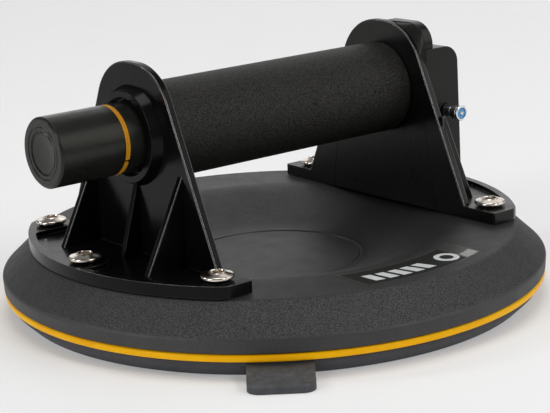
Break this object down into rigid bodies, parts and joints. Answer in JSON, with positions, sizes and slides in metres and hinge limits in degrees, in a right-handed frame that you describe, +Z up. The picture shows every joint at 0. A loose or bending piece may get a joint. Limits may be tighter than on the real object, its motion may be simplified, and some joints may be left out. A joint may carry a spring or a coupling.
{
  "type": "vacuum suction cup",
  "caption": "Round rubber-faced vacuum cup with a hand pump in its grip, held between a pump bracket and a valve bracket, for lifting flat sheets.",
  "frame": {"origin": "centre of the cup, on the plane that its lip seals against", "axes": "+Z up out of the cup; X along the grip, with the thumb plunger at -X and the valve housing at +X"},
  "size_m": [0.2, 0.2, 0.0939],
  "materials": {
    "grained_plastic": "fine sprayed grain",
    "bracket_plastic": "satin to gloss moulding",
    "plunger_plastic": "gloss",
    "grip_plastic": "fine spark grain",
    "pad_rubber": "dull",
    "seal_rubber": "dull",
    "amber_plastic": "satin",
    "nickel": "bright nickel plate",
    "steel": "plain zinc plate",
    "label_film": "satin film",
    "blue_plastic": "satin",
    "white_plastic": "plain acetal"
  },
  "bodies": {
    "root": {"sealing_pad": "pad_rubber", "accent_ring": "amber_plastic", "backing_disc": "grained_plastic", "blank_label": "label_film", "pump_bracket": "bracket_plastic", "valve_bracket": "bracket_plastic", "channel_cover": "bracket_plastic", "pump_bolt_front": "nickel", "pump_bolt_middle": "nickel", "pump_bolt_rear": "nickel", "valve_bolt_front": "nickel", "valve_bolt_middle": "nickel", "valve_bolt_rear": "nickel", "pump_nut_front": "steel", "pump_nut_middle": "steel", "pump_nut_rear": "steel", "valve_nut_front": "steel", "valve_nut_middle": "steel", "valve_nut_rear": "steel", "air_nipple": "steel", "airway_oring": "seal_rubber", "intake_screen": "steel", "grip_sleeve": "grip_plastic", "pump_barrel": "white_plastic", "guide_bush": "white_plastic", "barrel_plug": "white_plastic", "plug_oring": "seal_rubber", "inlet_valve_cage": "white_plastic", "return_spring": "steel", "release_valve_body": "nickel", "release_valve_insert": "blue_plastic", "release_spring": "steel"},
    "plunger_unit": {"plunger": "plunger_plastic", "indicator_band": "amber_plastic", "piston_head": "white_plastic", "piston_seal": "seal_rubber", "exhaust_valve_cage": "white_plastic"},
    "exhaust_valve": {"exhaust_valve_disc": "seal_rubber"},
    "inlet_valve": {"inlet_valve_disc": "seal_rubber"},
    "release_button": {"release_pin": "nickel"}
  },
  "joints": [
    {"name": "plunger_stroke", "type": "slide", "parent": "root", "child": "plunger_unit", "axis": [1, 0, 0], "range_m": [0, 0.029], "stiffness_N_per_m": 350, "springref_m": -0.015, "deforming": ["return_spring"]},
    {"name": "exhaust_valve_lift", "type": "slide", "parent": "plunger_unit", "child": "exhaust_valve", "axis": [-1, 0, 0], "range_m": [0, 0.001], "stiffness_N_per_m": 40, "springref_m": -0.002},
    {"name": "inlet_valve_lift", "type": "slide", "parent": "root", "child": "inlet_valve", "axis": [-1, 0, 0], "range_m": [0, 0.001], "stiffness_N_per_m": 40, "springref_m": -0.002},
    {"name": "release_press", "type": "slide", "parent": "root", "child": "release_button", "axis": [0, 1, 0], "range_m": [0, 0.0016], "stiffness_N_per_m": 400, "springref_m": -0.002, "deforming": ["release_spring"]}
  ]
}
